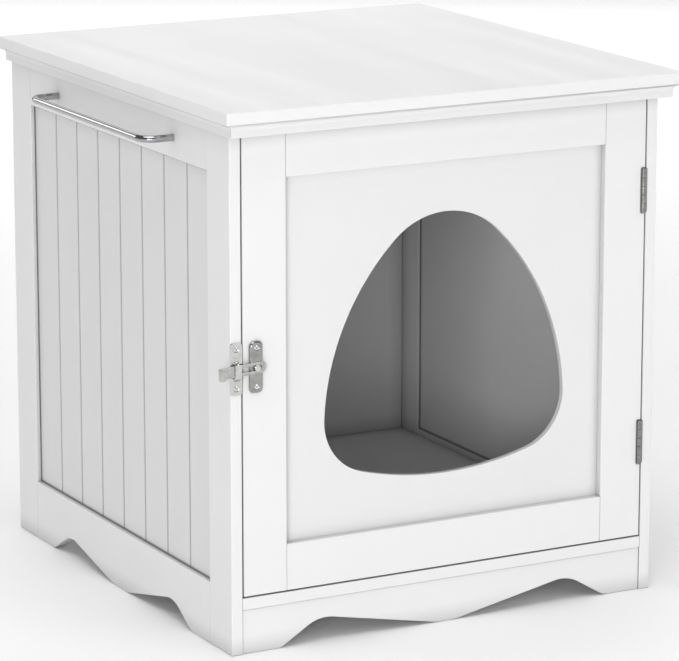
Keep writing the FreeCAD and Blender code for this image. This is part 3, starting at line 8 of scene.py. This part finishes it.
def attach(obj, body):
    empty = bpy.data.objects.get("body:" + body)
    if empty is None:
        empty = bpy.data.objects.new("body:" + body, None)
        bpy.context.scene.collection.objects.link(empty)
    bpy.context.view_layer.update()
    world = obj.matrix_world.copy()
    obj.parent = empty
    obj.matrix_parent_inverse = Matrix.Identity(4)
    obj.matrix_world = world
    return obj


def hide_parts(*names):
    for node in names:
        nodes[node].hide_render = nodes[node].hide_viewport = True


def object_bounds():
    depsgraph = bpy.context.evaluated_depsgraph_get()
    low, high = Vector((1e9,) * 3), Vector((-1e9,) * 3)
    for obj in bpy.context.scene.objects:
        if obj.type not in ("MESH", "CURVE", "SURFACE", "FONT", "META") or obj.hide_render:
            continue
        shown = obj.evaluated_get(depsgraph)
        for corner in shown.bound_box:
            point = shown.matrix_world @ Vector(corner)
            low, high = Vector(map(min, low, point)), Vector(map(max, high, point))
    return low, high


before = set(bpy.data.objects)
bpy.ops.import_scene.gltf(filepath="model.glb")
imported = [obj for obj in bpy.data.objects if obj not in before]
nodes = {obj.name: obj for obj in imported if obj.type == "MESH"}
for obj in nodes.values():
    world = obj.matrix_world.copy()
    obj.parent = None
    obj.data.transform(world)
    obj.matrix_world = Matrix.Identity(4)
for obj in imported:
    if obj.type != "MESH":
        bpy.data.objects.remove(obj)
cad_low, cad_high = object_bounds()
scene = bpy.context.scene
MM = 0.001

LEFT = (-1.0, 0.0, 0.0)
RIGHT = (1.0, 0.0, 0.0)
FRONT = (0.0, -1.0, 0.0)
BACK = (0.0, 1.0, 0.0)
DOWN = (0.0, 0.0, -1.0)


# ---------------------------------------------------------------- node helpers

NOISE_LOW = 0.3         # most of a noise texture lies between these two values
NOISE_HIGH = 0.7
OPENNESS_SAMPLES = 8


def grey(value):
    return (value, value, value)


def new_material(name):
    material = bpy.data.materials.new(name)
    material.use_nodes = True
    tree = material.node_tree
    tree.nodes.clear()
    output = tree.nodes.new("ShaderNodeOutputMaterial")
    shader = tree.nodes.new("ShaderNodeBsdfPrincipled")
    tree.links.new(shader.outputs["BSDF"], output.inputs["Surface"])
    return material, tree, shader


def coordinates(tree, scale=(1.0, 1.0, 1.0)):
    source = tree.nodes.new("ShaderNodeTexCoord")
    mapping = tree.nodes.new("ShaderNodeMapping")
    mapping.inputs["Scale"].default_value = scale
    tree.links.new(source.outputs["Object"], mapping.inputs["Vector"])
    return mapping.outputs["Vector"]


def noise(tree, vector, scale, detail, roughness):
    node = tree.nodes.new("ShaderNodeTexNoise")
    node.inputs["Scale"].default_value = scale
    node.inputs["Detail"].default_value = detail
    node.inputs["Roughness"].default_value = roughness
    tree.links.new(vector, node.inputs["Vector"])
    return node.outputs["Fac"]


def ramp(tree, value, stops):
    """Colors a value through (position, color) stops."""
    node = tree.nodes.new("ShaderNodeValToRGB")
    elements = node.color_ramp.elements
    while len(elements) < len(stops):
        elements.new(0.5)
    for element, (position, color) in zip(elements, stops):
        element.position = position
        element.color = (*color, 1.0)
    tree.links.new(value, node.inputs["Fac"])
    return node.outputs["Color"]


def between(tree, value, dark, light):
    """Colors a noise from dark to light."""
    return ramp(tree, value, [(NOISE_LOW, dark), (NOISE_HIGH, light)])


def spread(tree, value, low, high):
    """Maps a noise to numbers from low to high."""
    node = tree.nodes.new("ShaderNodeMapRange")
    node.inputs["From Min"].default_value = NOISE_LOW
    node.inputs["From Max"].default_value = NOISE_HIGH
    node.inputs["To Min"].default_value = low
    node.inputs["To Max"].default_value = high
    tree.links.new(value, node.inputs["Value"])
    return node.outputs["Result"]


def bump(tree, height, shader, strength, distance, over=None):
    """Gives the shader a relief, laid over an earlier relief where one is named."""
    node = tree.nodes.new("ShaderNodeBump")
    node.inputs["Strength"].default_value = strength
    node.inputs["Distance"].default_value = distance
    tree.links.new(height, node.inputs["Height"])
    if over is not None:
        tree.links.new(over, node.inputs["Normal"])
    tree.links.new(node.outputs["Normal"], shader.inputs["Normal"])
    return node.outputs["Normal"]


def paint_corner_shade(tree, color, reach, deepest, full_at):
    """Paints shade into a color near other surfaces, in corners, joints and recesses where less light falls.

    The color keeps its tone where nothing stands within reach. It is multiplied by deepest where the openness
    falls to full_at.
    """
    openness = tree.nodes.new("ShaderNodeAmbientOcclusion")
    openness.samples = OPENNESS_SAMPLES
    openness.inputs["Distance"].default_value = reach
    keep = tree.nodes.new("ShaderNodeMapRange")
    keep.inputs["From Min"].default_value = full_at
    keep.inputs["To Min"].default_value = deepest
    tree.links.new(openness.outputs["AO"], keep.inputs["Value"])
    scaled = tree.nodes.new("ShaderNodeVectorMath")
    scaled.operation = "SCALE"
    tree.links.new(color, scaled.inputs[0])
    tree.links.new(keep.outputs["Result"], scaled.inputs["Scale"])
    return scaled.outputs["Vector"]


# ---------------------------------------------------------------- materials

PAINT_TONE = 0.80
# The panels have the frame's paint; their lower tones are painted shade for their recesses.
PANEL_SHADED_TONE = 0.765
BEAD_SHADED_TONE = 0.725
MOTTLE_DARK = 0.985     # the dark patches of the mottle, as a share of the tone

# How fast the grain changes along x, y and z: it runs where the number is small.
GRAIN_UP = (1.0, 1.0, 0.06)
GRAIN_ACROSS = (0.06, 1.0, 1.0)
GRAIN_DEEP = (1.0, 0.06, 1.0)

# Layers of painted shade: a broad soft shade, then a thin dark line in the joints or in the beads.
FRAME_PAINTED_SHADE = (
    dict(reach=20.0 * MM, deepest=0.45, full_at=0.0),
    dict(reach=1.3 * MM, deepest=0.75, full_at=0.0),
)
PANEL_PAINTED_SHADE = (
    dict(reach=12.0 * MM, deepest=0.75, full_at=0.0),
)
BEAD_PAINTED_SHADE = (
    dict(reach=12.0 * MM, deepest=0.6, full_at=0.0),
    dict(reach=3.0 * MM, deepest=0.42, full_at=0.84),
)


def paint(name, tone, grain, corners):
    """Sprayed satin paint on board: a soft mottle, painted shade in its corners, an orange-peel skin and a
    faint long grain.
    """
    material, tree, shader = new_material(name)
    even = coordinates(tree)
    along = coordinates(tree, grain)
    mottle = noise(tree, even, scale=9.0, detail=4.0, roughness=0.55)
    color = between(tree, mottle, grey(MOTTLE_DARK * tone), grey(tone))
    # Painted shade: the color is darkened in corners, joints and recesses.
    for layer in corners:
        color = paint_corner_shade(tree, color, **layer)
    tree.links.new(color, shader.inputs["Base Color"])
    scuffs = noise(tree, along, scale=34.0, detail=5.0, roughness=0.6)
    tree.links.new(spread(tree, scuffs, low=0.36, high=0.46), shader.inputs["Roughness"])
    peel = noise(tree, even, scale=900.0, detail=2.0, roughness=0.5)
    skin = bump(tree, peel, shader, strength=0.05, distance=0.12 * MM)
    bump(tree, scuffs, shader, strength=0.035, distance=0.3 * MM, over=skin)
    shader.inputs["Specular IOR Level"].default_value = 0.38
    return material


def metal(name, dark, light, smooth, rough, grain=(1.0, 1.0, 1.0), relief=0.1):
    """Plated metal with a fine grain, cloudy in its color, its gloss between smooth and rough."""
    material, tree, shader = new_material(name)
    even = coordinates(tree)
    along = coordinates(tree, grain)
    cloud = noise(tree, even, scale=160.0, detail=4.0, roughness=0.6)
    tree.links.new(between(tree, cloud, dark, light), shader.inputs["Base Color"])
    lines = noise(tree, along, scale=700.0, detail=3.0, roughness=0.6)
    tree.links.new(spread(tree, lines, smooth, rough), shader.inputs["Roughness"])
    bump(tree, lines, shader, strength=relief, distance=0.04 * MM)
    shader.inputs["Metallic"].default_value = 1.0
    return material


def nickel(name, dark, light, smooth=0.16, rough=0.30):
    """Nickel plate brushed up and down, a little yellow."""
    return metal(name, dark, light, smooth, rough, grain=(1.0, 1.0, 0.08), relief=0.12)


def beech(name):
    """Bare beech: pale wood with short dark flecks that run front to back."""
    material, tree, shader = new_material(name)
    along = coordinates(tree, (1.0, 0.12, 1.0))
    grain = noise(tree, along, scale=520.0, detail=5.0, roughness=0.65)
    stops = [(0.3, (0.52, 0.36, 0.2)), (0.55, (0.72, 0.55, 0.34)), (0.8, (0.8, 0.64, 0.43))]
    tree.links.new(ramp(tree, grain, stops), shader.inputs["Base Color"])
    shader.inputs["Roughness"].default_value = 0.62
    bump(tree, grain, shader, strength=0.2, distance=0.1 * MM)
    return material


paint_upright = paint("white_paint_upright", PAINT_TONE, GRAIN_UP, FRAME_PAINTED_SHADE)
paint_across = paint("white_paint_across", PAINT_TONE, GRAIN_ACROSS, FRAME_PAINTED_SHADE)
paint_deep = paint("white_paint_front_to_back", PAINT_TONE, GRAIN_DEEP, FRAME_PAINTED_SHADE)
# The two panel paints are copies of the frame paint with painted shade in their lower tones.
paint_panel_shaded = paint("white_paint_panel", PANEL_SHADED_TONE, GRAIN_UP, PANEL_PAINTED_SHADE)
paint_beaded_shaded = paint("white_paint_beaded", BEAD_SHADED_TONE, GRAIN_UP, BEAD_PAINTED_SHADE)
nickel_plate = nickel("nickel_plate", (0.56, 0.56, 0.55), (0.70, 0.70, 0.69))
# The door plate is the catch plate's nickel, painted darker for the dark reflection it shows.
nickel_painted_dark = nickel("nickel_door_plate_painted_dark", grey(0.30), (0.42, 0.42, 0.41), smooth=0.18, rough=0.32)
nickel_hinge = nickel("nickel_hinge", grey(0.20), (0.34, 0.34, 0.33))
nickel_bar = metal(
    "nickel_bar", (0.40, 0.40, 0.39), (0.58, 0.58, 0.57), smooth=0.12, rough=0.26, grain=(0.08, 1.0, 1.0),
)
screw_steel = metal(
    "screw_head", (0.66, 0.66, 0.65), (0.82, 0.82, 0.81), smooth=0.10, rough=0.22, relief=0.08,
)
chrome = metal(
    "chrome_rod", (0.38, 0.38, 0.39), (0.46, 0.46, 0.47), smooth=0.04, rough=0.10,
    grain=(1.0, 0.05, 1.0), relief=0.05,
)
zinc = metal("zinc_fitting", grey(0.42), (0.58, 0.58, 0.57), smooth=0.32, rough=0.5, relief=0.2)
bare_beech = beech("bare_beech")

BY_NAME = {
    "front_moulding": paint_across,
    "front_apron": paint_across,
    "top_stretcher": paint_across,
    "door_foot_rail": paint_across,
    "door_head_rail": paint_across,
    "top_board": paint_deep,
    "left_moulding": paint_deep,
    "right_moulding": paint_deep,
    "left_top_rail": paint_deep,
    "left_foot_rail": paint_deep,
    "right_top_rail": paint_deep,
    "right_foot_rail": paint_deep,
    "floor_board": paint_deep,
    "latch_bar": nickel_bar,
    "latch_door_plate": nickel_painted_dark,
    "towel_bar": chrome,
    "towel_bar_screws": zinc,
    "cam_bolts": zinc,
    "cam_discs": zinc,
}
BY_WORD = {
    "dowels": bare_beech,
    "screws": screw_steel,
    "hinge": nickel_hinge,
    "latch": nickel_plate,
    "beaded": paint_beaded_shaded,
    "panel": paint_panel_shaded,
}


def material_for(name):
    """A node's own material, else that of a word that its name contains, else paint with an upright grain."""
    if name in BY_NAME:
        return BY_NAME[name]
    for word, material in BY_WORD.items():
        if word in name:
            return material
    return paint_upright


# ---------------------------------------------------------------- the CAD pieces

EASE_BOARD = 0.8 * MM
EASE_PANEL = 0.3 * MM
EASE_METAL = 0.25 * MM
EASE_SEGMENTS = 2
WELD_WITHIN = 0.01 * MM
FLAT_WITHIN = math.radians(0.5)
EASE_FROM = math.radians(32)
SHARP_AS_BUILT = ("dowels", "screws", "cam_", "towel_bar", "_pin")


def ease_edges(obj, width):
    """The small rounding that sanding, paint or plating leaves on every edge of a piece."""
    weld = obj.modifiers.new("weld", "WELD")
    weld.merge_threshold = WELD_WITHIN
    flat = obj.modifiers.new("flat", "DECIMATE")
    flat.decimate_type = "DISSOLVE"
    flat.angle_limit = FLAT_WITHIN
    bevel = obj.modifiers.new("ease", "BEVEL")
    bevel.width = width
    bevel.segments = EASE_SEGMENTS
    bevel.limit_method = "ANGLE"
    bevel.angle_limit = EASE_FROM
    bevel.use_clamp_overlap = False
    bevel.miter_outer = "MITER_ARC"
    bevel.loop_slide = False    # sliding drags a line across the boards that are drilled near an edge
    normals = obj.modifiers.new("normals", "WEIGHTED_NORMAL")
    normals.keep_sharp = True


for name, obj in nodes.items():
    obj.data.materials.clear()
    obj.data.materials.append(material_for(name))
    if any(word in name for word in SHARP_AS_BUILT):
        continue
    if "hinge" in name or "latch" in name:
        ease_edges(obj, EASE_METAL)
    elif "panel" in name:
        ease_edges(obj, EASE_PANEL)
    else:
        ease_edges(obj, EASE_BOARD)


# ---------------------------------------------------------------- screw heads and cam discs

LATHE_STEPS = 36
SMOOTH_BELOW = math.radians(35)
SAME_POINT = 0.001 * MM
SAME_POINT_DIGITS = 6           # decimals of a metre, as in SAME_POINT

DOME_STEPS = 6
UNDER_SEAT = 0.02 * MM          # how far the top of a dome lies under the top of the CAD head
RIM = 0.13 * MM                 # the upright edge of a head
THREAD_START = 0.5 * MM         # from the foot of the head to the first thread
THREAD_PITCH = 0.9 * MM
THREAD_ROOT = 0.7               # of the shank's radius
POINT = 1.6 * MM                # the length of the cone at the end
LAST_THREAD = 2.2 * MM          # no thread begins nearer to the end than this

CROSS_MOUTH = 1.15              # a driver recess is this much wider just outside the head
CROSS_TIP = 0.45                # and this much narrower at its end
CROSS_ABOVE = 0.5 * MM
SCREW_CROSS_REACH = 0.62        # of the head's radius, from the middle to the end of an arm
SCREW_CROSS_WIDTH = 0.16        # of the head's radius, half the width of an arm
SCREW_CROSS_DEPTH = 0.9 * MM
FIRST_TURN = 25                 # degrees: the angle of the first screw's recess
NEXT_TURN = 37                  # and how much further each of the next ones was driven


def lathe(bm, profile, place):
    """Turns (radius, height) points about +Z, closed at both ends, and puts the solid at place."""
    top = bm.verts.new(place @ Vector((0.0, 0.0, profile[0][1])))
    foot = bm.verts.new(place @ Vector((0.0, 0.0, profile[-1][1])))
    angles = [2.0 * math.pi * k / LATHE_STEPS for k in range(LATHE_STEPS)]
    rings = []
    for radius, height in profile[1:-1]:
        points = [Vector((radius * math.cos(a), radius * math.sin(a), height)) for a in angles]
        rings.append([bm.verts.new(place @ point) for point in points])
    for k in range(LATHE_STEPS):
        after = (k + 1) % LATHE_STEPS
        bm.faces.new((top, rings[0][k], rings[0][after]))
        bm.faces.new((foot, rings[-1][after], rings[-1][k]))
        for upper, lower in zip(rings, rings[1:]):
            bm.faces.new((upper[k], lower[k], lower[after], upper[after]))


def cross_prism(bm, place, reach, width, depth):
    """A tapering four-armed prism, the shape that a cross-head driver leaves."""
    corners = []
    for turn in range(4):
        c, s = math.cos(turn * math.pi / 2.0), math.sin(turn * math.pi / 2.0)
        for x, y in ((width, width), (reach, width), (reach, -width)):
            corners.append((c * x + s * y, -s * x + c * y))
    loops = []
    for height, scale in ((CROSS_ABOVE, CROSS_MOUTH), (-depth, CROSS_TIP)):
        loops.append([bm.verts.new(place @ Vector((x * scale, y * scale, height))) for x, y in corners])
    mouth, tip = loops
    bm.faces.new(mouth)
    bm.faces.new(list(reversed(tip)))
    for k in range(len(corners)):
        after = (k + 1) % len(corners)
        bm.faces.new((mouth[k], tip[k], tip[after], mouth[after]))


def facing(point, outward):
    """The placing that turns +Z to outward, with its origin at point."""
    turn = Vector(outward).to_track_quat("Z", "Y").to_matrix().to_4x4()
    return Matrix.Translation(Vector(point)) @ turn


def solid(name, bm):
    """A new object of the solids in bm, their faces turned outward."""
    mesh = bpy.data.meshes.new(name)
    bmesh.ops.recalc_face_normals(bm, faces=bm.faces)
    bm.to_mesh(mesh)
    bm.free()
    piece = bpy.data.objects.new(name, mesh)
    scene.collection.objects.link(piece)
    return piece


def cut_crosses(piece, places, reach, width, depth):
    """Cuts a driver recess into piece at each place."""
    bm = bmesh.new()
    for place in places:
        cross_prism(bm, place, reach, width, depth)
    cutter = solid(piece.name + "_cutter", bm)
    cut = piece.modifiers.new("recess", "BOOLEAN")
    cut.operation = "DIFFERENCE"
    cut.solver = "EXACT"
    cut.object = cutter
    bpy.context.view_layer.update()
    finished = bpy.data.meshes.new_from_object(piece.evaluated_get(bpy.context.evaluated_depsgraph_get()))
    piece.modifiers.clear()
    piece.data = finished
    bpy.data.objects.remove(cutter)


def fit_in_place(piece, node, body):
    """The finished piece takes the node's material and stands for it."""
    piece.data.materials.clear()
    piece.data.materials.append(material_for(node))
    for face in piece.data.polygons:
        face.use_smooth = True
    piece.data.set_sharp_from_angle(angle=SMOOTH_BELOW)
    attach(piece, body)
    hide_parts(node)


def loose_boxes(mesh):
    """The box of each separate solid in a mesh, as (low, high)."""
    owner = list(range(len(mesh.vertices)))

    def root(v):
        while owner[v] != v:
            owner[v] = owner[owner[v]]
            v = owner[v]
        return v

    seen = {}
    for v in mesh.vertices:
        key = tuple(round(c, SAME_POINT_DIGITS) for c in v.co)
        owner[v.index] = seen.setdefault(key, v.index)
    for edge in mesh.edges:
        a, b = (root(v) for v in edge.vertices)
        owner[a] = b
    groups = {}
    for v in mesh.vertices:
        groups.setdefault(root(v.index), []).append(v.co)
    boxes = []
    for points in groups.values():
        low = Vector([min(p[i] for p in points) for i in range(3)])
        high = Vector([max(p[i] for p in points) for i in range(3)])
        boxes.append((low, high))
    return boxes


def length_along(low, high, direction):
    """The length of a box along one of the axes."""
    return sum(abs(direction[i]) * (high - low)[i] for i in range(3))


def outward_end(low, high, outward):
    """The middle of a box's outward side."""
    return (low + high) / 2.0 + Vector(outward) * length_along(low, high, outward) / 2.0


def screw_profile(head, rise, sink, shank, length):
    """One side of a raised countersunk screw from the top of its dome to its point, its thread as rings."""
    profile = [(0.0, -UNDER_SEAT)]
    for k in range(1, DOME_STEPS + 1):
        out = k / DOME_STEPS
        profile.append((head * out, -UNDER_SEAT - rise * out ** 2))
    profile.append((head, -UNDER_SEAT - RIM - rise))
    profile.append((shank, -sink))
    height = sink + THREAD_START
    while height < length - LAST_THREAD:
        profile.append((shank, -height))
        profile.append((shank * THREAD_ROOT, -height - THREAD_PITCH / 2.0))
        height += THREAD_PITCH
    profile.append((shank * THREAD_ROOT, -length + POINT))
    profile.append((0.0, -length))
    return profile


def raised_screws(node, outward, body, head, rise, sink, shank):
    """Raised screws in the places of the CAD ones, just under their ends, each with a driver recess."""
    bm = bmesh.new()
    places = []
    for k, (low, high) in enumerate(loose_boxes(nodes[node].data)):
        place = facing(outward_end(low, high, outward), outward)
        length = length_along(low, high, outward)
        lathe(bm, screw_profile(head, rise, sink, shank, length), place)
        places.append(place @ Matrix.Rotation(math.radians(FIRST_TURN + NEXT_TURN * k), 4, "Z"))
    piece = solid(node + "_cross_head", bm)
    cut_crosses(piece, places, head * SCREW_CROSS_REACH, head * SCREW_CROSS_WIDTH, SCREW_CROSS_DEPTH)
    fit_in_place(piece, node, body)


def recessed_copy(node, body, outward_of, reach, width, depth):
    """The CAD solids with a driver recess cut into the outward end of each."""
    source = nodes[node]
    piece = bpy.data.objects.new(node + "_cross_head", source.data.copy())
    scene.collection.objects.link(piece)
    weld = piece.modifiers.new("weld", "WELD")
    weld.merge_threshold = SAME_POINT
    places = []
    for low, high in loose_boxes(source.data):
        outward = outward_of(low, high)
        places.append(facing(outward_end(low, high, outward), outward))
    cut_crosses(piece, places, reach, width, depth)
    fit_in_place(piece, node, body)


def rod_screw_outward(low, high):
    """The screws of the rod are driven from inside the cabinet."""
    return RIGHT


def cam_disc_outward(low, high):
    """A disc is open toward the middle of the cabinet, or to the back, or below, along its odd size."""
    size = high - low
    odd = max(range(3), key=lambda i: abs(2.0 * size[i] - size[(i + 1) % 3] - size[(i + 2) % 3]))
    if odd == 0:
        return LEFT if low.x + high.x > 0.0 else RIGHT
    return BACK if odd == 1 else DOWN


LATCH_SCREW = dict(head=2.75 * MM, rise=0.5 * MM, sink=1.0 * MM, shank=1.6 * MM)
HINGE_SCREW = dict(head=2.2 * MM, rise=0.2 * MM, sink=0.7 * MM, shank=1.2 * MM)
ROD_SCREW_CROSS = dict(reach=2.3 * MM, width=0.5 * MM, depth=1.3 * MM)
CAM_CROSS = dict(reach=3.4 * MM, width=0.65 * MM, depth=2.2 * MM)

raised_screws("latch_catch_screws", FRONT, "carcass", **LATCH_SCREW)
raised_screws("latch_door_screws", FRONT, "door", **LATCH_SCREW)
raised_screws("hinge_fixed_screws", LEFT, "carcass", **HINGE_SCREW)
raised_screws("hinge_door_screws", RIGHT, "door", **HINGE_SCREW)
recessed_copy("towel_bar_screws", "carcass", rod_screw_outward, **ROD_SCREW_CROSS)
recessed_copy("cam_discs", "carcass", cam_disc_outward, **CAM_CROSS)


# ---------------------------------------------------------------- camera

# Fitted to the corners, joints and fittings that the photograph shows.
CAMERA_AT = (-1.7946, -3.37079, 1.14904)
YAW = 0.4936            # radians to the right of straight ahead
PITCH = 0.2313          # radians down
FOCAL_PIXELS = 3772.4
IMAGE_WIDTH = 679
SENSOR_WIDTH = 36.0


def aim(obj, direction):
    """Points a camera or a light along direction."""
    obj.rotation_mode = "QUATERNION"
    obj.rotation_quaternion = Vector(direction).to_track_quat("-Z", "Y")


def add_camera():
    data = bpy.data.cameras.new("camera")
    data.sensor_width = SENSOR_WIDTH
    data.lens = FOCAL_PIXELS / IMAGE_WIDTH * SENSOR_WIDTH
    data.clip_start = 0.1
    data.clip_end = 60.0
    camera = bpy.data.objects.new("camera", data)
    scene.collection.objects.link(camera)
    camera.location = CAMERA_AT
    aim(camera, (math.sin(YAW) * math.cos(PITCH), math.cos(YAW) * math.cos(PITCH), -math.sin(PITCH)))
    scene.camera = camera


add_camera()


# ---------------------------------------------------------------- light and floor

CABINET_MIDDLE = tuple((a + b) / 2.0 for a, b in zip(cad_low, cad_high))
WORLD_STRENGTH = 0.15
FLOOR_HALF = 40.0


def area_light(name, at, toward, size, power):
    data = bpy.data.lights.new(name, "AREA")
    data.shape = "RECTANGLE"
    data.size, data.size_y = size
    data.energy = power
    light = bpy.data.objects.new(name, data)
    scene.collection.objects.link(light)
    light.location = at
    aim(light, Vector(toward) - Vector(at))


def soft_sun(name, direction, angle, strength):
    data = bpy.data.lights.new(name, "SUN")
    data.angle = math.radians(angle)
    data.energy = strength
    sun = bpy.data.objects.new(name, data)
    scene.collection.objects.link(sun)
    aim(sun, direction)


def make_floor():
    mesh = bpy.data.meshes.new("floor")
    corners = [
        (-FLOOR_HALF, -FLOOR_HALF, 0.0), (FLOOR_HALF, -FLOOR_HALF, 0.0),
        (FLOOR_HALF, FLOOR_HALF, 0.0), (-FLOOR_HALF, FLOOR_HALF, 0.0),
    ]
    mesh.from_pydata(corners, [], [(0, 1, 2, 3)])
    floor = bpy.data.objects.new("floor", mesh)
    scene.collection.objects.link(floor)
    material, tree, shader = new_material("pale_floor")
    cloud = noise(tree, coordinates(tree), scale=1.3, detail=3.0, roughness=0.5)
    tree.links.new(between(tree, cloud, grey(0.96), grey(0.975)), shader.inputs["Base Color"])
    shader.inputs["Roughness"].default_value = 0.85
    shader.inputs["Specular IOR Level"].default_value = 0.1
    mesh.materials.append(material)


# Sizes and places in metres, powers in watts. The two left lights reach the inside through the opening, and
# the back ones graze the top board.
soft_sun("overhead", direction=(0.12, 0.10, -1.0), angle=55.0, strength=1.65)
area_light("key", at=(1.8, -3.4, 1.7), toward=(0.0, 0.0, 0.25), size=(2.2, 2.2), power=27.0)
area_light("fill", at=(-0.9, -4.3, 0.75), toward=CABINET_MIDDLE, size=(1.6, 1.2), power=8.0)
area_light("left_far", at=(-2.8, -3.2, 0.9), toward=CABINET_MIDDLE, size=(1.2, 1.0), power=48.0)
area_light("left_near", at=(-2.2, -3.6, 0.75), toward=CABINET_MIDDLE, size=(1.2, 0.9), power=26.0)
area_light("back", at=(1.85, 3.4, 1.75), toward=(0.0, 0.3, 0.5), size=(4.0, 2.0), power=47.0)
area_light("back_left", at=(-1.8, 3.5, 1.5), toward=(-0.2, 0.0, 0.45), size=(1.6, 1.2), power=14.0)

world = bpy.data.worlds.new("studio")
scene.world = world
world.use_nodes = True
background = world.node_tree.nodes["Background"]
background.inputs["Color"].default_value = (*grey(1.0), 1.0)
background.inputs["Strength"].default_value = WORLD_STRENGTH

scene.view_settings.view_transform = "Standard"
scene.view_settings.look = "None"

make_floor()
